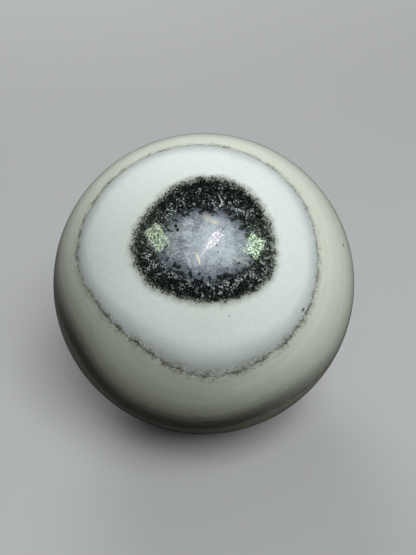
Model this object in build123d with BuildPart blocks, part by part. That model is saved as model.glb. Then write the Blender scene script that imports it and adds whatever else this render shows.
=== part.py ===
"""Calcite sphere: a ball ground and polished from one piece of banded stone.

The bands are growth layers inside one solid stone, so the whole ball is a single part.
Units are millimetres, +Z is up and the origin is the centre of the ball. The eye of the
bands looks towards -Y, tilted up from the horizon.
"""

import os

from build123d import *

# Driving dimension
ball_diameter = 60.0

# Worked out from it
ball_radius = ball_diameter / 2

# The ball: a half disc standing on the Z axis, turned once around it.
with BuildPart() as calcite_sphere:
    with BuildSketch(Plane.XZ) as half_disc:
        with BuildLine() as outline:
            bottom = (0, -ball_radius)
            side = (ball_radius, 0)
            top = (0, ball_radius)
            ThreePointArc(bottom, side, top)
            Line(top, bottom)
        make_face()
    revolve(axis=Axis.Z)

calcite_sphere.part.label = "calcite_sphere"

os.makedirs("parts", exist_ok=True)
export_step(calcite_sphere.part, "parts/calcite_sphere.step")
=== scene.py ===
"""A polished ball of banded calcite on a plain studio floor.

Laid out as an add-on and run as a script. Blender works in metres with +Z up, and the ball's centre is
the origin. The bands are worked out in millimetres, because grains and veins are easier to read so.
"""

import functools
import math
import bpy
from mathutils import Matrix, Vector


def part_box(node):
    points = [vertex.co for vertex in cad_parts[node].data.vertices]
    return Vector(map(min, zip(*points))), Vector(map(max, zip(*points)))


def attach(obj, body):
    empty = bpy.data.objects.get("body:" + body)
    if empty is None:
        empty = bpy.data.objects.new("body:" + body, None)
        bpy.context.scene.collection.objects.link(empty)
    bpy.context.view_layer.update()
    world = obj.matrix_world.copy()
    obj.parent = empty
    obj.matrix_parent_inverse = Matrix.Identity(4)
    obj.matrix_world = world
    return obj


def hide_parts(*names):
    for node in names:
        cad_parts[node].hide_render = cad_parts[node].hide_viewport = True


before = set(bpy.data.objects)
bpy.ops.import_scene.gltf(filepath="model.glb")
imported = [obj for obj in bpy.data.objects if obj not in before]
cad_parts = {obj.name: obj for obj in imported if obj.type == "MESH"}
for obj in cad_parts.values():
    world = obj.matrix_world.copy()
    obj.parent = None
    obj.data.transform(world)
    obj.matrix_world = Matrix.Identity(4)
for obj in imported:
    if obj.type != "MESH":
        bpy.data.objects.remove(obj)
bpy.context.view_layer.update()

import types

import bpy
import numpy as np
from bpy.props import FloatProperty, FloatVectorProperty, IntProperty, PointerProperty
from mathutils import Quaternion, Vector, noise

bl_info = {
    "name": "Banded calcite ball",
    "version": (1, 0, 0),
    "blender": (4, 5, 0),
    "location": "3D View > Sidebar > Calcite",
    "description": "Makes a polished ball of banded calcite and a plain studio round it",
    "category": "Object",
}

MM = 0.001  # metres in a millimetre
HOURS = 12  # each outline round the eye is given at the hours of a clock face
CLOCK_HOUR = math.tau / HOURS


def linear(sheet_colour):
    """Turns an sRGB hex value into the linear colour that Blender shades with."""
    digits = sheet_colour.lstrip("#")
    shares = [int(digits[place:place + 2], 16) / 255 for place in (0, 2, 4)]
    return tuple(s / 12.92 if s <= 0.04045 else ((s + 0.055) / 1.055) ** 2.4 for s in shares)


def by_hour(*degrees):
    """Angles from the centre of the eye, given in degrees at twelve o'clock and on round clockwise."""
    return tuple(math.radians(angle) for angle in degrees)


def outline_property(name, description, *degrees):
    """An outline round the eye, as one angle for each hour of the clock."""
    return FloatVectorProperty(
        name=name, description=description, size=HOURS, unit="ROTATION", default=by_hour(*degrees)
    )


def colour_property(name, description, sheet_colour):
    """A stone colour, written as an sRGB hex value."""
    return FloatVectorProperty(
        name=name, description=description, subtype="COLOR", size=3, min=0.0, max=1.0,
        default=linear(sheet_colour),
    )


def length_property(name, description, millimetres):
    """A length, written in millimetres and kept in metres."""
    return FloatProperty(
        name=name, description=description, subtype="DISTANCE", unit="LENGTH", min=0.0,
        precision=6, default=millimetres * MM,
    )


def angle_property(name, description, degrees):
    """An angle, written in degrees and kept in radians."""
    return FloatProperty(
        name=name, description=description, subtype="ANGLE", unit="ROTATION",
        default=math.radians(degrees),
    )


# --- Sizes, colours and studio values ------------------------------------------------------------


class CalciteBallSizes(bpy.types.PropertyGroup):
    """Where the bands of the ball lie and how deep its worn places are."""

    eye_height: angle_property(
        "Eye height", "Height of the eye's centre above the ball's equator, on the side towards -Y", 50.0
    )
    core_edge: outline_property(
        "Core edge", "Outline of the cloudy core, at each hour round the eye",
        9.0, 10.0, 11.5, 14.0, 16.0, 12.8, 13.3, 12.2, 13.5, 13.0, 11.0, 9.8,
    )
    ring_edge: outline_property(
        "Ring edge", "Outline of the ring of dark grains, at each hour round the eye",
        21.7, 22.2, 21.8, 22.0, 23.6, 20.9, 19.6, 20.0, 22.2, 22.5, 20.4, 20.2,
    )
    first_vein: outline_property(
        "First vein", "Line of the vein round the white band, at each hour round the eye",
        41.5, 40.5, 40.0, 40.0, 42.0, 43.5, 44.5, 40.0, 41.2, 47.0, 46.0, 43.5,
    )
    second_vein: outline_property(
        "Second vein", "Line of the vein outside the ivory band, at each hour round the eye",
        80.0, 82.0, 83.0, 82.0, 78.0, 72.0, 77.5, 76.5, 68.5, 73.5, 77.5, 79.5,
    )
    vein_darkness: FloatVectorProperty(
        name="Vein darkness", description="How dark the first vein is, at each hour round the eye",
        size=HOURS, min=0.0, max=1.0,
        default=(0.45, 0.5, 0.5, 0.55, 0.75, 0.75, 0.85, 0.9, 0.8, 0.72, 0.65, 0.5),
    )
    vein_spread: FloatVectorProperty(
        name="Vein spread", description="Width of the first vein's grey stain, at each hour",
        size=HOURS, unit="LENGTH", precision=6,
        default=tuple(
            MM * width for width in (0.8, 0.8, 0.7, 0.7, 0.8, 1.4, 1.9, 1.4, 1.0, 0.9, 0.9, 0.8)
        ),
    )
    # How olive and dark the ivory is by the second vein at each hour: partly a real stain and partly
    # painted shade, strongest low and to the left, on the side of the ball away from the light.
    second_stain: FloatVectorProperty(
        name="Stain by the second vein",
        description="How olive the ivory is near the second vein, at each hour",
        size=HOURS, min=0.0, max=1.0,
        default=(0.0, 0.0, 0.05, 0.1, 0.2, 0.5, 0.95, 1.0, 0.85, 0.38, 0.15, 0.0),
    )
    grain_size: length_property("Grain size", "Width of a dark grain in the ring", 0.2)
    fringe_size: length_property("Fringe size", "Width of the loose grains outside the ring", 0.17)
    blob_size: length_property("Blob size", "Width of the dark blobs at the edge of the core", 0.8)
    pore_spacing: length_property("Pore spacing", "Distance between the rough seams of the eye", 0.38)
    groove_depth: length_property("Groove depth", "Depth to which a vein is worn below the polish", 0.03)
    grain_relief: length_property("Grain relief", "Depth of the unevenness left in the dark ring", 0.0017)
    columns: IntProperty(
        name="Columns", description="Points in each ring of the mesh round the eye", min=64, default=480
    )


class CalciteColours(bpy.types.PropertyGroup):
    """The colours of the stone, band by band from the eye outwards."""

    core_deep: colour_property("Core, deep", "Clear blue-grey of the core", "#69757E")
    core_milky: colour_property("Core, milky", "Clouds in the core", "#BCCAD1")
    core_white: colour_property("Core, white", "Whitest wisps in the core", "#EBF0F1")
    core_rim: colour_property("Core, rim", "Clear dark stone between the core and the ring", "#535F68")
    grain_black: colour_property("Black grain", "Darkest grains of the ring", "#060707")
    grain_grey: colour_property("Grey grain", "Duller grains of the ring", "#34393A")
    grain_pale: colour_property("Pale grain", "Clear stone between the dark grains", "#A5B0B1")
    grain_olive: colour_property("Olive grain", "Loose grains at the ring's outer edge", "#2F342A")
    halo: colour_property("Halo", "Stain round the outside of the ring", "#90978B")
    white_near: colour_property("White by the ring", "Greenish white next to the ring", "#E2EDE6")
    white_shade: colour_property("White at the vein", "Greyer stone just inside the vein", "#ABB5B3")
    white_far: colour_property("White by the vein", "Bluish white next to the first vein", "#EAF5F3")
    vein_dark: colour_property("Vein, dark", "Dark dots along a vein", "#454438")
    vein_grey: colour_property("Vein, grey", "Grey stain along a vein", "#7E816F")
    vein_pale: colour_property("Vein, pale", "Pale crystals along a vein", "#DFE3D6")
    # Olive and umber darken the ivory by the second vein: partly stain, and partly painted shade on the low
    # side of the ball, which the light hardly reaches. The umber is almost black.
    olive: colour_property("Olive", "Stain in the ivory next to the second vein", "#5D6445")
    umber: colour_property("Umber", "Darkest stain, against the second vein", "#1C180C")
    ivory: colour_property("Ivory", "Greenish ivory outside the first vein", "#EEF6E9")
    ivory_warm: colour_property("Ivory, warm", "Warmer layers in the ivory", "#DFE6D3")
    beige: colour_property("Beige", "Layer outside the second vein", "#BDB9A6")


class CalciteStage(bpy.types.PropertyGroup):
    """The camera, the floor and the lights."""

    camera_height: angle_property(
        "Camera height", "Elevation of the camera above the ball's centre", 36.0
    )
    camera_distance: length_property("Camera distance", "From the ball's centre to the lens", 128.0)
    focal_length: FloatProperty(
        name="Focal length", description="Of the lens, in millimetres", default=40.5
    )
    aim_right: length_property("Aim to the right", "From the ball's centre to the picture's", 0.82)
    aim_up: length_property("Aim upwards", "From the ball's centre to the picture's", 1.19)
    floor_colour: colour_property("Floor", "The floor and the air above it", "#B2B4B5")
    floor_bounce: colour_property("Floor bounce", "What the floor gives back to the ball", "#24241F")
    sky_top: FloatProperty(
        name="Light overhead", description="Strength of the studio's light from above", default=0.09
    )
    sky_side: FloatProperty(
        name="Light at the side", description="Strength of the studio's light from the walls", default=0.02
    )
    key_light: FloatProperty(
        name="Key lamp", description="Share of full light that the large soft lamp gives", default=0.94
    )
    back_light: FloatProperty(
        name="Back lamp", description="Share of full light that the soft lamp behind gives", default=0.55
    )
    floor_gloss: FloatProperty(
        name="Floor in the polish", description="How much of the floor's paleness the polish shows",
        default=0.1,
    )
    room_gloss: FloatProperty(
        name="Room in the polish", description="Share of the room's light that shows in the polish",
        default=0.4,
    )


# --- Helpers -------------------------------------------------------------------------------------


def add_node(tree, kind, *values, out=None, **named):
    """Adds a node and returns its output.

    Values fill the node's inputs in order. A name sets the input of that name or, if there is none, the
    setting. A node's output is the one called out, or its first.
    """
    node = tree.nodes.new("ShaderNode" + kind)
    input_names = {socket.name.lower().replace(" ", "_") for socket in node.inputs}
    for name, value in named.items():
        if name not in input_names:
            setattr(node, name, value)
    shown = [socket for socket in node.inputs if socket.enabled]
    filled = list(zip(shown, values))
    for name, value in named.items():
        if name in input_names:
            filled.append((next(s for s in shown if s.name.lower().replace(" ", "_") == name), value))
    for socket, value in filled:
        if isinstance(value, bpy.types.NodeSocket):
            tree.links.new(value, socket)
        elif socket.type == "RGBA":
            socket.default_value = (*value[:3], 1.0)
        else:
            socket.default_value = value
    if out:
        return node.outputs[out]
    return next((socket for socket in node.outputs if socket.enabled), None)


def new_material(name):
    """A node material with nothing in it but its output."""
    material = bpy.data.materials.new(name)
    material.use_nodes = True
    material.node_tree.nodes.clear()
    return material


def place_object(name, data):
    """Puts new data into the scene as an object."""
    made = bpy.data.objects.new(name, data)
    bpy.context.scene.collection.objects.link(made)
    return made


# --- The ball ------------------------------------------------------------------------------------


def eye_axes(eye_height):
    """Unit vectors from the ball's centre: to the eye, towards twelve o'clock, and towards three."""
    sine, cosine = math.sin(eye_height), math.cos(eye_height)
    to_eye = np.array([0.0, -cosine, sine])
    to_twelve = np.array([0.0, sine, cosine])
    to_three = np.array([1.0, 0.0, 0.0])
    return to_eye, to_twelve, to_three


def direction(eye_height, clock, angle):
    """The unit vector at an angle from the eye's centre, at a clock angle round it."""
    to_eye, to_twelve, to_three = eye_axes(eye_height)
    outward = np.cos(clock)[..., None] * to_twelve + np.sin(clock)[..., None] * to_three
    return np.cos(angle)[..., None] * to_eye + np.sin(angle)[..., None] * outward


def outline_at(by_the_hour, clock):
    """The outline's angle at any clock angle: a smooth closed curve through its twelve values."""
    hour = clock / CLOCK_HOUR
    whole = np.floor(hour).astype(int)
    part = hour - whole
    values = np.array(by_the_hour)
    before, here, after, beyond = (values[(whole + step) % HOURS] for step in (-1, 0, 1, 2))
    bend = 2 * before - 5 * here + 4 * after - beyond
    twist = 3 * (here - after) + beyond - before
    return here + 0.5 * part * (after - before + part * (bend + part * twist))


def row_angles(radius):
    """Angles from the eye at which the mesh has a row of points.

    Rows are close where the surface has relief, in the speckled ring and along the first vein, and wide
    apart on the plain polish.
    """
    fine_step, coarse_step = 0.16 * MM, 1.05 * MM
    fine_zones = [(math.radians(0.0), math.radians(24.5)), (math.radians(38.5), math.radians(48.5))]
    easing = math.radians(7.0)
    angles = [fine_step * 2 / radius]
    while angles[-1] < math.pi:
        outside = min(max(first - angles[-1], angles[-1] - last, 0.0) for first, last in fine_zones)
        share = min(outside / easing, 1.0)
        angles.append(angles[-1] + (fine_step + share * (coarse_step - fine_step)) / radius)
    return np.array(angles[:-2])


def smooth_step(value, start, end):
    """0 below start, 1 above end and an even S between them."""
    share = np.clip((value - start) / (end - start), 0.0, 1.0)
    return share * share * (3 - 2 * share)


def lumps(points, size, seed):
    """Soft noise of a given lump size at each point, from about -1 to 1."""
    shift = Vector((seed, 2.0 * seed, -seed))
    return np.array([noise.noise(Vector(point) / size + shift) for point in points])


def band_distances(sizes, radius, clock, angle):
    """How far each point lies outside each outline, along the surface and in millimetres."""
    outlines = {
        "past_core": sizes.core_edge,
        "past_ring": sizes.ring_edge,
        "past_vein": sizes.first_vein,
        "past_second": sizes.second_vein,
    }
    return {
        name: (angle - outline_at(outline, clock)) * radius / MM for name, outline in outlines.items()
    }


def sunk_depth(points, past, sizes):
    """Depth of each point below the true ball, in metres, from wear and plucked grains."""
    in_eye = 1 - smooth_step(past["past_ring"], -0.6, 0.8)
    in_grains = in_eye * smooth_step(past["past_core"], -0.8, 0.6)
    uneven = lumps(points, 0.5 * MM, 3.0) + 0.5 * lumps(points, 0.24 * MM, 11.0)
    ring_depth = sizes.grain_relief * np.clip(0.9 + uneven, 0.0, 2.0) * (0.9 * in_eye + 0.1 * in_grains)

    wander = 0.35 * lumps(points, 1.6 * MM, 5.0)
    across = np.abs(past["past_vein"] + wander)
    plucked = np.clip(0.35 + lumps(points, 0.55 * MM, 8.0), 0.0, 1.0)
    vein_depth = sizes.groove_depth * plucked * (1 - smooth_step(across, 0.05, 0.45))
    return ring_depth + vein_depth


def ball_mesh(sizes, radius):
    """The ball's surface as rings of points round the eye, with the band distances stored on it."""
    rows = row_angles(radius)
    columns = sizes.columns
    clock, angle = np.meshgrid(np.linspace(0.0, math.tau, columns, endpoint=False), rows)
    clock = np.concatenate(([0.0], clock.ravel(), [0.0]))
    angle = np.concatenate(([0.0], angle.ravel(), [math.pi]))
    directions = direction(sizes.eye_height, clock, angle)
    past = band_distances(sizes, radius, clock, angle)
    points = directions * (radius - sunk_depth(directions * radius, past, sizes))[:, None]

    last = len(points) - 1
    faces = []
    for column in range(columns):
        after = (column + 1) % columns
        faces.append((0, 1 + column, 1 + after))
        for row in range(len(rows) - 1):
            inner, outer = 1 + row * columns, 1 + (row + 1) * columns
            faces.append((inner + column, outer + column, outer + after, inner + after))
        edge = 1 + (len(rows) - 1) * columns
        faces.append((edge + column, last, edge + after))

    mesh = bpy.data.meshes.new("banded_ball")
    mesh.from_pydata(points.tolist(), [], faces)
    mesh.polygons.foreach_set("use_smooth", [True] * len(mesh.polygons))
    for name, values in past.items():
        mesh.attributes.new(name, "FLOAT", "POINT").data.foreach_set("value", values)
    reach = angle * radius / MM
    hour_values = {
        "vein_darkness": sizes.vein_darkness,
        "vein_spread": sizes.vein_spread,
        "second_stain": sizes.second_stain,
    }
    for name, by_the_hour in hour_values.items():
        values = outline_at(by_the_hour, clock)
        mesh.attributes.new(name, "FLOAT", "POINT").data.foreach_set("value", values)
    eye_map = np.stack([reach * np.sin(clock), reach * np.cos(clock), 0 * reach], axis=1)
    mesh.attributes.new("eye_map", "FLOAT_VECTOR", "POINT").data.foreach_set("vector", eye_map.ravel())
    mesh.update()
    return mesh


# Small things that lie in the stone. Each has its name, its edge, its middle, in millimetres from the
# eye's centre towards three and towards twelve o'clock along the surface, its length and width in
# millimetres, the lean of its long side clockwise from twelve o'clock in degrees, how solid it is, and
# its colour. The higher the edge, the sharper the outline.
SMALL_THINGS = [
    ("upper bead", 4, (-4.5, 2.1), 0.60, 0.56, 0.0, 0.95, "#0A0B0E"),
    ("lower bead", 4, (-4.2, 1.4), 0.62, 0.56, 0.0, 0.95, "#0A0B0E"),
    ("left drop", 3, (-4.0, -4.7), 0.95, 0.70, 60.0, 0.9, "#101216"),
    ("lower left drop", 3, (-2.2, -5.7), 0.75, 0.60, 30.0, 0.9, "#101216"),
    ("lower right drop", 3, (3.5, -6.0), 0.85, 0.75, 0.0, 0.9, "#0C0E11"),
    ("right drop", 3, (4.6, -6.1), 0.70, 0.55, 160.0, 0.85, "#0C0E11"),
    ("straw sliver", 8, (-0.9, -3.4), 1.85, 0.4, 162.0, 1.0, "#F4EBCB"),
    ("upper thread", 4, (2.65, 7.3), 1.25, 0.20, 160.0, 0.7, "#B9BEBE"),
    ("middle thread", 4, (2.95, 6.4), 1.10, 0.24, 176.0, 0.8, "#C4C9C9"),
    ("lower thread", 4, (2.75, 5.7), 0.75, 0.30, 38.0, 0.85, "#D4D8D8"),
    ("honey streak", 1.2, (0.6, 3.2), 1.7, 0.8, 118.0, 0.5, "#DEDAC4"),
    ("honey streak end", 1.5, (1.8, 2.6), 1.3, 0.55, 112.0, 0.65, "#E3DBBB"),
    ("bright tail", 2, (0.4, -1.8), 3.8, 0.42, 37.0, 0.7, "#E6EBEE"),
    ("right wisp", 1.5, (5.0, -3.3), 3.2, 0.45, 113.0, 0.4, "#DDE1DA"),
    ("left wisp", 2, (-2.5, -3.6), 3.0, 0.4, 157.0, 0.4, "#D5DCDF"),
    ("dark speck", 3, (4.1, -12.5), 0.30, 0.26, 0.0, 0.6, "#54564E"),
    ("vein notch", 3, (17.8, -11.2), 0.80, 0.45, 35.0, 0.85, "#2E2B24"),
    ("outer pit", 3, (30.6, 3.8), 1.00, 0.55, 10.0, 0.75, "#4A473A"),
    ("pale fleck", 3, (17.5, -27.4), 1.10, 0.35, 140.0, 0.8, "#E9ECE2"),
]

# A painted highlight: pink-white specks near the eye's centre, drawn into the stone's colour around the top
# strip lamp's reflection: right, up and length in millimetres. Each one is turned by the same step from the
# one before, so that no two side by side lie alike.
HIGHLIGHT_SPECKS = [
    (2.7, 1.5, 0.4), (2.1, 0.8, 0.3), (1.5, 0.5, 0.45), (2.5, 0.2, 0.25), (1.9, -0.1, 0.5),
    (1.2, -0.5, 0.3), (1.6, -0.8, 0.4), (2.2, -0.4, 0.25), (0.8, -1.0, 0.35),
]
HIGHLIGHT_SPECK_TURN = 70.0
# The painted highlight specks are laid over the stone together with the small things.
SMALL_THINGS += [
    ("painted highlight speck", 1.4, (right, up), length, 0.24, HIGHLIGHT_SPECK_TURN * count, 0.75, "#FFF6F9")
    for count, (right, up, length) in enumerate(HIGHLIGHT_SPECKS)
]

# Settings that many nodes share. In the shader, lengths are millimetres, and a noise of scale 1 / size
# has lumps about size millimetres wide.
IN_COLOUR = {"data_type": "RGBA"}
SOFTLY = {"interpolation_type": "SMOOTHSTEP"}
CLOUD_CENTRE = (1.3, -1.2, 0.0)  # the milkiest place of the core, on the eye map


def small_thing(node, stone, eye_map, name, edge, middle, length, width, lean, solid, sheet_colour):
    """Paints one small thing over the stone."""
    local = node(
        "Mapping", eye_map, vector_type="TEXTURE", location=(*middle, 0.0),
        rotation=(0.0, 0.0, -math.radians(lean)), scale=(width / 2, length / 2, 1.0),
    )
    distance = node("VectorMath", local, operation="LENGTH", out="Value")
    softness = 1 / edge
    share = node("MapRange", distance, 1 - softness, 1 + softness, solid, 0.0, **SOFTLY)
    return node("Mix", share, stone, linear(sheet_colour), label=name, **IN_COLOUR)


def layout(node, sizes):
    """What the bands share: the place in the stone, the distance past each outline, and the grains."""
    at = types.SimpleNamespace()
    at.place = node("VectorMath", node("TexCoord", out="Object"), operation="SCALE", scale=1 / MM)
    at.eye_map = node("Attribute", attribute_name="eye_map", out="Vector")
    at.eye_upward = node("SeparateXYZ", at.eye_map, out="Y")
    for name in (
        "past_core", "past_ring", "past_vein", "past_second", "vein_darkness", "vein_spread",
        "second_stain",
    ):
        setattr(at, name, node("Attribute", attribute_name=name, out="Fac"))

    grains = node("TexVoronoi", vector=at.place, scale=MM / sizes.grain_size, out="Color")
    at.grain_pick, at.grain_tone, at.grain_rough = (
        node("SeparateColor", grains, out=channel) for channel in ("Red", "Green", "Blue")
    )
    specks = node("TexVoronoi", vector=at.place, scale=MM / sizes.fringe_size, out="Color")
    at.speck_pick, at.speck_tone, at.pale_pick = (
        node("SeparateColor", specks, out=channel) for channel in ("Red", "Green", "Blue")
    )
    at.clouds = node("TexNoise", vector=at.place, scale=1 / 5.0, detail=4.0, roughness=0.6)

    # Every outline wanders by a part of a millimetre, in wide bends and in fine ones.
    wide_bends = node("TexNoise", vector=at.place, scale=1 / 1.5, detail=4.0, roughness=0.6)
    fine_bends = node("TexNoise", vector=at.place, scale=1 / 0.7, detail=3.0, roughness=0.6)
    at.wander = node("Math", wide_bends, 0.5, operation="SUBTRACT")
    at.fine_wander = node("Math", fine_bends, 0.5, operation="SUBTRACT")
    at.core_line = node("Math", at.wander, 2.6, at.past_core, operation="MULTIPLY_ADD")
    at.ring_line = node("Math", at.wander, 1.7, at.past_ring, operation="MULTIPLY_ADD")
    at.second_line = node("Math", at.wander, 1.4, at.past_second, operation="MULTIPLY_ADD")
    vein_line = node("Math", at.wander, 1.2, at.past_vein, operation="MULTIPLY_ADD")
    at.vein_line = node("Math", at.fine_wander, 1.3, vein_line, operation="MULTIPLY_ADD")
    return at


def white_band(node, at, colours):
    """White, greenish by the ring, bluish further out, and greyer and faintly mottled by the vein."""
    towards_vein = node("Math", at.clouds, 3.0, at.past_vein, operation="MULTIPLY_ADD")
    far_share = node("MapRange", towards_vein, -11.0, -3.0, **SOFTLY)
    white = node("Mix", far_share, colours.white_near, colours.white_far, **IN_COLOUR)

    # The grey reaches further in where the vein itself is wide.
    by_vein = node("Math", at.clouds, 1.5, at.past_vein, operation="MULTIPLY_ADD")
    spread = node("Math", at.vein_spread, MM, operation="DIVIDE")
    by_vein = node("Math", by_vein, spread, operation="DIVIDE")
    most_shade = node("MapRange", at.vein_spread, 0.7 * MM, 1.9 * MM, 0.55, 1.0)
    shade = node("MapRange", by_vein, -3.5, 0.4, **SOFTLY)
    shade = node("Math", shade, most_shade, operation="MULTIPLY")
    white = node("Mix", shade, white, colours.white_shade, **IN_COLOUR)

    mottle = node("TexNoise", vector=at.place, scale=1 / 0.9, detail=5.0, roughness=0.7)
    mottle = node("MapRange", mottle, 0.42, 0.72, 0.0, 0.13, **SOFTLY)
    return node("Mix", mottle, white, colours.white_shade, **IN_COLOUR)


def ivory_and_beige(node, at, colours):
    """Ivory in faint layers that follow the first vein, and beige ones outside the second."""
    layer_line = node("Math", at.wander, 1.6, at.past_vein, operation="MULTIPLY_ADD")
    layer_place = node("CombineXYZ", layer_line, 0.0, 0.0)
    layers = node("TexNoise", vector=layer_place, scale=1 / 1.5, detail=4.0, roughness=0.6)
    layers = node("Math", layers, 0.8, operation="MULTIPLY")
    patches = node("TexNoise", vector=at.place, scale=1 / 5.0, detail=3.0)
    layers = node("Math", patches, 0.3, layers, operation="MULTIPLY_ADD")
    warm_share = node("MapRange", layers, 0.42, 0.85, **SOFTLY)
    ivory = node("Mix", warm_share, colours.ivory, colours.ivory_warm, **IN_COLOUR)

    # Olive and umber in thin layers against the second vein, strongest at the low hours: partly stain and
    # partly painted shade, where the ball turns away from the light.
    outer_line = node("Math", at.wander, 1.2, at.past_second, operation="MULTIPLY_ADD")
    outer_place = node("CombineXYZ", outer_line, 7.0, 0.0)
    outer_layers = node("TexNoise", vector=outer_place, scale=1 / 1.1, detail=4.0, roughness=0.6)
    outer_layers = node("Math", outer_layers, 0.5, operation="SUBTRACT")
    stain_and_shade_line = node("Math", outer_layers, 3.0, at.second_line, operation="MULTIPLY_ADD")
    for colour, start, end, least, most in (
        (colours.olive, -12.0, -0.5, 0.42, 0.95),
        (colours.umber, -7.2, -1.4, 0.0, 1.0),
    ):
        stain = node("MapRange", stain_and_shade_line, start, end, least, most, **SOFTLY)
        stain = node("Math", stain, at.second_stain, operation="MULTIPLY")
        ivory = node("Mix", stain, ivory, colour, **IN_COLOUR)

    back_line = node("Math", at.clouds, 7.0, at.past_second, operation="MULTIPLY_ADD")
    back_place = node("CombineXYZ", back_line, 13.0, 0.0)
    back_layers = node("TexNoise", vector=back_place, scale=1 / 4.0, detail=4.0)
    back_layers = node("Math", back_layers, 0.7, operation="MULTIPLY")
    back_layers = node("Math", at.clouds, 0.35, back_layers, operation="MULTIPLY_ADD")
    warm_share = node("MapRange", back_layers, 0.4, 0.75, **SOFTLY)
    beige = node("Mix", warm_share, colours.beige, colours.ivory_warm, **IN_COLOUR)
    # Olive over the beige just outside the second vein, by the same hours: partly stain and partly painted
    # shade.
    stain = node("MapRange", at.second_line, 1.0, 6.0, 0.8, 0.0, **SOFTLY)
    stain = node("Math", stain, at.second_stain, operation="MULTIPLY")
    beige = node("Mix", stain, beige, colours.olive, **IN_COLOUR)
    beige_share = node("MapRange", at.second_line, -0.2, 0.4, **SOFTLY)
    return node("Mix", beige_share, ivory, beige, **IN_COLOUR)


def draw_vein(node, at, colours, stone, line, jag, darkness, spread):
    """A thin jagged dark thread in a grey stain, set with dark and pale crystals.

    The stain is spread millimetres wide on the side of the eye.
    """
    stain_outside = 1.4
    inside = node("Math", line, -1.0, operation="MULTIPLY")
    inside = node("Math", inside, 0.0, operation="MAXIMUM")
    inside = node("Math", inside, spread, operation="DIVIDE")
    outside = node("Math", line, 0.0, operation="MAXIMUM")
    outside = node("Math", outside, stain_outside, operation="DIVIDE")
    from_line = node("Math", inside, outside, operation="ADD")

    stain = node("MapRange", from_line, 0.0, 1.5, 0.7, 0.0, **SOFTLY)
    stain = node("Math", stain, darkness, operation="MULTIPLY")
    stone = node("Mix", stain, stone, colours.vein_grey, **IN_COLOUR)

    pale_chance = node("MapRange", from_line, 0.1, 1.1, 0.24, 0.0, **SOFTLY)
    pale = node("Math", at.pale_pick, pale_chance, operation="LESS_THAN")
    pale = node("Math", pale, 0.65, operation="MULTIPLY")
    stone = node("Mix", pale, stone, colours.vein_pale, **IN_COLOUR)

    off_line = node("Math", jag, 1.1, line, operation="MULTIPLY_ADD")
    off_line = node("Math", off_line, operation="ABSOLUTE")
    thread = node("MapRange", off_line, 0.05, 0.3, 0.95, 0.0, **SOFTLY)
    thread = node("Math", thread, darkness, operation="MULTIPLY")
    stone = node("Mix", thread, stone, colours.vein_dark, **IN_COLOUR)

    dark_chance = node("MapRange", from_line, 0.0, 0.9, 0.4, 0.0, **SOFTLY)
    dark_chance = node("Math", dark_chance, darkness, operation="MULTIPLY")
    dark = node("Math", at.speck_pick, dark_chance, operation="LESS_THAN")
    dark = node("Math", dark, 0.8, operation="MULTIPLY")
    dark_colour = node("Mix", at.speck_tone, colours.vein_dark, colours.vein_grey, **IN_COLOUR)
    return node("Mix", dark, stone, dark_colour, **IN_COLOUR)


def both_veins(node, at, colours, stone):
    """The vein round the white band, and the fainter one outside the ivory."""
    patches = node("TexNoise", vector=at.place, scale=1 / 2.0, detail=3.0)
    patchy = node("MapRange", patches, 0.35, 0.6, 0.4, 1.0, **SOFTLY)
    jag = node("TexNoise", vector=at.place, scale=1 / 0.4, detail=3.0, roughness=0.7)
    jag = node("Math", jag, 0.5, operation="SUBTRACT")
    first_darkness = node("Math", at.vein_darkness, patchy, operation="MULTIPLY")
    first_spread = node("Math", at.vein_spread, MM, operation="DIVIDE")
    stone = draw_vein(node, at, colours, stone, at.vein_line, jag, first_darkness, first_spread)
    second_darkness = node("Math", patchy, 0.8, operation="MULTIPLY")
    second_spread = 0.6
    return draw_vein(node, at, colours, stone, at.second_line, jag, second_darkness, second_spread)


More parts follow.
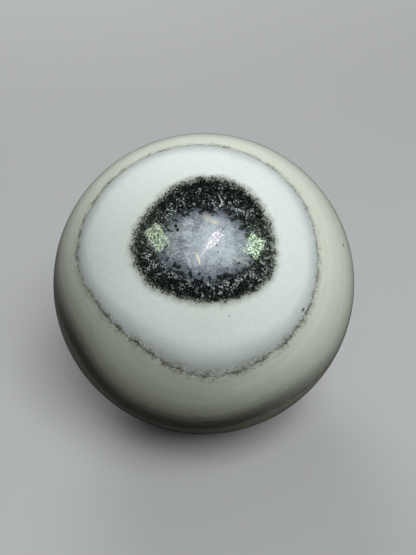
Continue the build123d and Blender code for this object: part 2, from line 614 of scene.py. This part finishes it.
def cloudy_core(node, at, colours):
    """Milky stone right of its middle, full of fine fibres and flecks, and clearer towards its rim."""
    haze = node("TexNoise", vector=at.place, scale=1 / 2.2, detail=6.0, roughness=0.6)
    from_cloud = node("VectorMath", at.eye_map, CLOUD_CENTRE, operation="DISTANCE", out="Value")
    milk = node("Math", from_cloud, -0.07, 0.47, operation="MULTIPLY_ADD")
    milk = node("Math", milk, haze, operation="ADD")
    milk = node("MapRange", milk, 0.45, 0.95, **SOFTLY)
    core = node("Mix", milk, colours.core_deep, colours.core_milky, **IN_COLOUR)

    # Fibres that spread from the cloud's centre and swirl a little on their way.
    bend = node("TexNoise", vector=at.place, scale=1 / 2.5, detail=3.0, out="Color")
    swirl = node("VectorMath", bend, operation="SCALE", scale=3.0)
    spoke = node("VectorMath", at.eye_map, CLOUD_CENTRE, operation="SUBTRACT")
    spoke = node("VectorMath", spoke, operation="NORMALIZE")
    spoke = node("VectorMath", spoke, (5.5, 5.5, 0.0), swirl, operation="MULTIPLY_ADD")
    along = node("Math", from_cloud, 0.4, operation="MULTIPLY")
    spoke = node("VectorMath", spoke, node("CombineXYZ", 0.0, 0.0, along))
    fibres = node("TexNoise", vector=spoke, scale=1 / 0.8, detail=6.0, roughness=0.75)
    fibres = node("MapRange", fibres, 0.45, 0.75, 0.0, 0.6, **SOFTLY)
    beyond_centre = node("MapRange", from_cloud, 1.0, 4.5, 0.15, 1.0, **SOFTLY)
    fibres = node("Math", fibres, beyond_centre, operation="MULTIPLY")
    core = node("Mix", fibres, core, colours.core_white, **IN_COLOUR)

    bent = node("VectorMath", bend, (4.0, 4.0, 4.0), at.place, operation="MULTIPLY_ADD")
    lace = node("VectorMath", bent, (0.4, 1.0, 2.6), operation="MULTIPLY")
    lace = node("TexNoise", vector=lace, scale=1 / 0.6, detail=6.0, roughness=0.75)
    lace = node("MapRange", lace, 0.5, 0.75, 0.0, 0.5, **SOFTLY)
    core = node("Mix", lace, core, colours.core_white, **IN_COLOUR)

    white_flecks, clear_gaps = 0.1, 0.92
    fleck = node("Math", at.pale_pick, white_flecks, operation="LESS_THAN")
    fleck = node("Math", fleck, 0.4, operation="MULTIPLY")
    core = node("Mix", fleck, core, colours.core_white, **IN_COLOUR)
    gap = node("Math", at.pale_pick, clear_gaps, operation="GREATER_THAN")
    gap = node("Math", gap, 0.35, operation="MULTIPLY")
    core = node("Mix", gap, core, colours.core_deep, **IN_COLOUR)
    rim = node("MapRange", at.past_core, -2.4, 1.2, **SOFTLY)
    return node("Mix", rim, core, colours.core_rim, **IN_COLOUR)


def grain_colours(node, at, colours):
    """Black, grey and clear pale grains in clusters, and dark olive ones at the ring's outer edge."""
    clusters = node("TexNoise", vector=at.place, scale=1 / 1.3, detail=4.0, roughness=0.65)
    clusters = node("Math", clusters, 0.5, operation="SUBTRACT")
    tone = node("Math", at.grain_tone, 0.88, 0.08, operation="MULTIPLY_ADD")
    tone = node("Math", clusters, 1.6, tone, operation="MULTIPLY_ADD")
    paler_inside = node("MapRange", at.past_ring, -3.4, -0.8, 0.06, -0.08, **SOFTLY)
    tone = node("Math", tone, paler_inside, operation="ADD")
    paler_below = node("MapRange", at.eye_upward, -9.0, 9.0, 0.08, -0.05)
    tone = node("Math", tone, paler_below, operation="ADD")
    grey = node("MapRange", tone, 0.4, 0.95, **SOFTLY)
    grains = node("Mix", grey, colours.grain_black, colours.grain_grey, **IN_COLOUR)
    pale = node("MapRange", tone, 0.78, 1.05, **SOFTLY)
    grains = node("Mix", pale, grains, colours.grain_pale, **IN_COLOUR)
    loose = node("Mix", at.grain_rough, colours.grain_black, colours.grain_olive, **IN_COLOUR)
    loose_share = node("MapRange", at.ring_line, -1.4, 0.2, 0.0, 0.8, **SOFTLY)
    return node("Mix", loose_share, grains, loose, **IN_COLOUR)


def dark_ring(node, at, sizes, colours, stone):
    """The ring of dark grains, its loose fringe, and the drops that hang from it into the core."""
    looseness = node("MapRange", at.eye_upward, -9.0, 9.0, 0.6, 1.3)
    furry_line = node("Math", at.ring_line, looseness, operation="DIVIDE")
    furry_line = node("Math", at.fine_wander, 1.6, furry_line, operation="MULTIPLY_ADD")
    past_core = node("MapRange", at.core_line, -0.5, 1.3, **SOFTLY)
    before_edge = node("MapRange", furry_line, -0.8, 0.6, 1.0, 0.0, **SOFTLY)
    chance = node("Math", past_core, before_edge, operation="MULTIPLY")
    picked = node("Math", at.grain_pick, chance, operation="LESS_THAN")
    stone = node("Mix", picked, stone, grain_colours(node, at, colours), **IN_COLOUR)

    # Fine loose grains that thin out into the white.
    fringe_in = node("MapRange", furry_line, -0.8, -0.2, **SOFTLY)
    fringe_out = node("MapRange", furry_line, -0.3, 0.7, 0.65, 0.0, **SOFTLY)
    chance = node("Math", fringe_in, fringe_out, operation="MULTIPLY")
    picked = node("Math", at.speck_pick, chance, operation="LESS_THAN")
    picked = node("Math", picked, 0.8, operation="MULTIPLY")
    fringe_tone = node("MapRange", at.speck_tone, 0.2, 1.2, **SOFTLY)
    fringe = node("Mix", fringe_tone, colours.grain_olive, colours.halo, **IN_COLOUR)
    stone = node("Mix", picked, stone, fringe, **IN_COLOUR)

    drops = node("TexNoise", vector=at.place, scale=MM / sizes.blob_size, detail=1.0)
    by_ring = node("MapRange", at.core_line, -1.9, 0.8, 0.0, 0.24, **SOFTLY)
    drops = node("Math", drops, by_ring, operation="ADD")
    drops = node("MapRange", drops, 0.68, 0.8, 0.0, 0.9, **SOFTLY)
    in_core = node("MapRange", at.past_core, 0.4, 1.6, 1.0, 0.0, **SOFTLY)
    drops = node("Math", drops, in_core, operation="MULTIPLY")
    return node("Mix", drops, stone, colours.grain_black, **IN_COLOUR)


def polish(node, at, sizes):
    """Roughness and gloss: rough seams, rough grains and dull pits in the eye, a smooth gloss elsewhere."""
    smooth, rough_grains, dull_specks = 0.05, 0.8, 0.6
    seam = node(
        "TexVoronoi", vector=at.place, scale=MM / sizes.pore_spacing, feature="DISTANCE_TO_EDGE",
        out="Distance",
    )
    in_eye = node("MapRange", at.past_ring, -0.8, 0.6, 1.0, 0.0, **SOFTLY)
    seam = node("MapRange", seam, 0.02, 0.08, 0.4, 0.0, **SOFTLY)
    seam = node("Math", seam, in_eye, operation="MULTIPLY")
    grain = node("Math", at.grain_rough, rough_grains, operation="GREATER_THAN")
    grain = node("Math", grain, node("Math", in_eye, 0.3, operation="MULTIPLY"), operation="MULTIPLY")
    roughness = node("Math", seam, grain, operation="MAXIMUM")
    roughness = node("Math", roughness, smooth, operation="ADD")
    pit = node("Math", at.speck_tone, dull_specks, operation="GREATER_THAN")
    pit = node("Math", pit, in_eye, operation="MULTIPLY")
    gloss = node("MapRange", pit, 0.0, 1.0, 0.55, 0.15)
    return roughness, gloss


def banded_calcite(sizes, colours):
    """Calcite ground and polished to a ball.

    Polished calcite has a clear glassy gloss over a milky body that light sinks a little way into. The
    dark grains of the eye are harder than the stone between them, so rough seams and small pits break
    up the gloss. The grains are drawn 0.2 mm wide, because finer ones would not show.
    """
    material = new_material("polished_banded_calcite")
    node = functools.partial(add_node, material.node_tree)
    at = layout(node, sizes)
    white = white_band(node, at, colours)
    ivory = ivory_and_beige(node, at, colours)
    past_vein = node("MapRange", at.vein_line, -0.2, 0.2, **SOFTLY)
    stone = node("Mix", past_vein, white, ivory, **IN_COLOUR)
    stone = both_veins(node, at, colours, stone)

    # Olive-grey stain round the outside of the ring, and clear dark stone under the whole eye.
    halo = node("MapRange", at.ring_line, -0.3, 1.6, 0.85, 0.0, **SOFTLY)
    stone = node("Mix", halo, stone, colours.halo, **IN_COLOUR)
    eye_floor = node("MapRange", at.ring_line, -1.8, -0.6, 1.0, 0.0, **SOFTLY)
    stone = node("Mix", eye_floor, stone, colours.core_rim, **IN_COLOUR)

    in_core = node("MapRange", at.core_line, 0.0, 1.9, 1.0, 0.0, **SOFTLY)
    stone = node("Mix", in_core, stone, cloudy_core(node, at, colours), **IN_COLOUR)
    stone = dark_ring(node, at, sizes, colours, stone)
    for thing in SMALL_THINGS:
        stone = small_thing(node, stone, at.eye_map, *thing)

    roughness, gloss = polish(node, at, sizes)
    node(
        "OutputMaterial",
        node(
            "BsdfPrincipled", base_color=stone, roughness=roughness, ior=1.6, specular_ior_level=gloss,
            subsurface_weight=0.25, subsurface_radius=(1.0, 0.95, 0.85), subsurface_scale=0.8 * MM,
        ),
    )
    return material


def ball_radius():
    """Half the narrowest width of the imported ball, in metres, so that the looks stay inside it."""
    low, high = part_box("calcite_sphere")
    return min(high[axis] - low[axis] for axis in range(3)) / 2


class CALCITE_OT_ball(bpy.types.Operator):
    """Make the polished ball with its bands"""

    bl_idname = "calcite.ball"
    bl_label = "Make the ball"

    def execute(self, context):
        sizes = context.scene.calcite_sizes
        ball = place_object("banded_ball", ball_mesh(sizes, ball_radius()))
        ball.data.materials.append(banded_calcite(sizes, context.scene.calcite_colours))
        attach(ball, "root")
        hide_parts("calcite_sphere")
        return {"FINISHED"}


# --- The stage -----------------------------------------------------------------------------------


def towards(azimuth, elevation):
    """The unit vector from the ball's centre: azimuth 0 is the front, -Y, and 90 is the right, +X."""
    level = math.cos(elevation)
    return Vector((math.sin(azimuth) * level, -math.cos(azimuth) * level, math.sin(elevation)))


def make_floor(stage):
    """A wide round floor just under the ball."""
    radius, sides = 3.0, 96
    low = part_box("calcite_sphere")[0][2]
    corners = [
        (radius * math.cos(math.tau * side / sides), radius * math.sin(math.tau * side / sides), low)
        for side in range(sides)
    ]
    mesh = bpy.data.meshes.new("floor")
    mesh.from_pydata(corners, [], [tuple(range(sides))])
    floor = place_object("floor", mesh)
    floor.data.materials.append(painted_board(stage))


def seen_share(node, gloss_share):
    """1 where the camera sees a thing, gloss_share in a reflection, and 0 where it only lights others."""
    camera_ray = node("LightPath", out="Is Camera Ray")
    glossy, through = (camera_ray.node.outputs[name] for name in ("Is Glossy Ray", "Is Transmission Ray"))
    mirrored = node("Math", glossy, through, operation="MAXIMUM")
    mirrored = node("Math", mirrored, gloss_share, operation="MULTIPLY")
    return node("Math", camera_ray, mirrored, operation="MAXIMUM")


def painted_board(stage):
    """Board rolled with matt paint: an even pale grey with no gloss. It shows pale, but sends little
    light back up, so that the underside of the ball stays as dark as over a dim shelf. Far from the ball
    it goes over into the colour of the air, so that no edge of the floor shows."""
    material = new_material("matt_painted_board")
    node = functools.partial(add_node, material.node_tree)
    colour = node(
        "Mix", data_type="RGBA", factor=seen_share(node, stage.floor_gloss),
        a=stage.floor_bounce, b=stage.floor_colour,
    )
    paint = node("BsdfPrincipled", base_color=colour, roughness=0.8)
    from_ball = node("VectorMath", node("TexCoord", out="Object"), operation="LENGTH", out="Value")
    far = node("MapRange", from_ball, 0.12, 0.6, interpolation_type="SMOOTHSTEP")
    far_seen = node("Math", far, node("LightPath", out="Is Camera Ray"), operation="MULTIPLY")
    node("OutputMaterial", node("MixShader", far_seen, paint, node("Emission", stage.floor_colour, 1.0)))
    return material


def make_world(stage):
    """Soft studio light that is brighter overhead, and the floor's own colour where it is seen."""
    world = bpy.data.worlds.new("studio")
    bpy.context.scene.world = world
    world.use_nodes = True
    world.node_tree.nodes.clear()
    node = functools.partial(add_node, world.node_tree)
    upward = node("SeparateXYZ", node("TexCoord", out="Generated"), out="Z")
    strength = node("MapRange", upward, 0.0, 1.0, stage.sky_side, stage.sky_top)
    camera_ray = node("LightPath", out="Is Camera Ray")
    polish_ray = camera_ray.node.outputs["Is Glossy Ray"]
    dimming = node("MapRange", polish_ray, 0.0, 1.0, 1.0, stage.room_gloss)
    lighting = node("Background", (1.0, 1.0, 1.0), node("Math", strength, dimming, operation="MULTIPLY"))
    seen = node("Background", stage.floor_colour, 1.0)
    node("OutputWorld", node("MixShader", camera_ray, lighting, seen))


# Lamps: azimuth, elevation, width and height as seen from the ball, and roll, in degrees; then the
# radiance and the colour. Each only shows as a mirror image in the polish.
MIRRORED_LAMPS = [
    ("left_panel", -61.5, 55.1, 18.5, 10.0, -7.0, 13.0, "#DCF2CE"),
    ("right_panel", 57.2, 49.2, 14.2, 10.6, 19.0, 21.0, "#D6F4CF"),
    ("top_strip", 15.8, 64.8, 14.0, 6.0, 36.0, 11.0, "#FFE9EE"),
]


def make_lamp(name, azimuth, elevation, distance, width, height, roll, power, colour):
    """A flat lamp that faces the ball's centre. Its direction is seen from there."""
    light = bpy.data.lights.new(name, "AREA")
    light.shape = "RECTANGLE"
    light.size, light.size_y = width, height
    light.energy = power
    light.color = colour
    lamp = place_object(name, light)
    out = towards(azimuth, elevation)
    lamp.location = out * distance
    lamp.rotation_mode = "QUATERNION"
    lamp.rotation_quaternion = (-out).to_track_quat("-Z", "Y") @ Quaternion((0.0, 0.0, 1.0), roll)
    return lamp


def make_lamps(stage):
    """Two large soft lamps without glare, and small panels that show as mirror images in the polish."""
    distance, size = 0.8, 0.45
    soft_lamps = (("key", 27.0, 58.0, stage.key_light), ("back", -165.0, 28.0, stage.back_light))
    for name, azimuth, elevation, share in soft_lamps:
        lamp = make_lamp(
            name, math.radians(azimuth), math.radians(elevation), distance, size, size, 0.0,
            share * math.pi ** 2 * distance ** 2, (1.0, 1.0, 1.0),
        )
        lamp.visible_glossy = False
    distance = 0.4
    for name, azimuth, elevation, wide, high, roll, radiance, sheet_colour in MIRRORED_LAMPS:
        width = 2 * distance * math.tan(math.radians(wide) / 2)
        height = 2 * distance * math.tan(math.radians(high) / 2)
        panel = make_lamp(
            name, math.radians(azimuth), math.radians(elevation), distance, width, height,
            math.radians(roll), radiance * math.pi * width * height, linear(sheet_colour),
        )
        panel.visible_diffuse = False


def make_camera(stage):
    """The camera looks down at the eye of the ball, with the ball a little low and left of centre."""
    data = bpy.data.cameras.new("camera")
    data.lens = stage.focal_length
    data.sensor_width = 36.0
    data.clip_start = 0.01
    camera = place_object("camera", data)
    out = towards(0.0, stage.camera_height)
    upward = Vector((0.0, math.sin(stage.camera_height), math.cos(stage.camera_height)))
    aim = Vector((stage.aim_right, 0.0, 0.0)) + upward * stage.aim_up
    camera.location = out * stage.camera_distance
    camera.rotation_mode = "QUATERNION"
    camera.rotation_quaternion = (aim - camera.location).to_track_quat("-Z", "Y")
    bpy.context.scene.camera = camera


class CALCITE_OT_stage(bpy.types.Operator):
    """Make the floor, the lights and the camera"""

    bl_idname = "calcite.stage"
    bl_label = "Make the stage"

    def execute(self, context):
        stage = context.scene.calcite_stage
        make_floor(stage)
        make_world(stage)
        make_lamps(stage)
        make_camera(stage)
        context.scene.view_settings.view_transform = "Standard"
        return {"FINISHED"}


class CALCITE_PT_panel(bpy.types.Panel):
    """Sizes, colours and the operators that make the ball and its stage"""

    bl_idname = "CALCITE_PT_panel"
    bl_label = "Banded calcite ball"
    bl_space_type = "VIEW_3D"
    bl_region_type = "UI"
    bl_category = "Calcite"

    def draw(self, context):
        scene = context.scene
        for group in (scene.calcite_sizes, scene.calcite_colours, scene.calcite_stage):
            box = self.layout.box()
            for name in group.__annotations__:
                box.prop(group, name)
        for operator in (CALCITE_OT_ball, CALCITE_OT_stage):
            self.layout.operator(operator.bl_idname)


CLASSES = (
    CalciteBallSizes, CalciteColours, CalciteStage, CALCITE_OT_ball, CALCITE_OT_stage, CALCITE_PT_panel,
)


def register():
    for kind in CLASSES:
        bpy.utils.register_class(kind)
    bpy.types.Scene.calcite_sizes = PointerProperty(type=CalciteBallSizes)
    bpy.types.Scene.calcite_colours = PointerProperty(type=CalciteColours)
    bpy.types.Scene.calcite_stage = PointerProperty(type=CalciteStage)


def unregister():
    del bpy.types.Scene.calcite_stage
    del bpy.types.Scene.calcite_colours
    del bpy.types.Scene.calcite_sizes
    for kind in reversed(CLASSES):
        bpy.utils.unregister_class(kind)


def main():
    """Makes everything in order."""
    register()
    bpy.ops.calcite.ball()
    bpy.ops.calcite.stage()


if __name__ == "__main__":
    main()
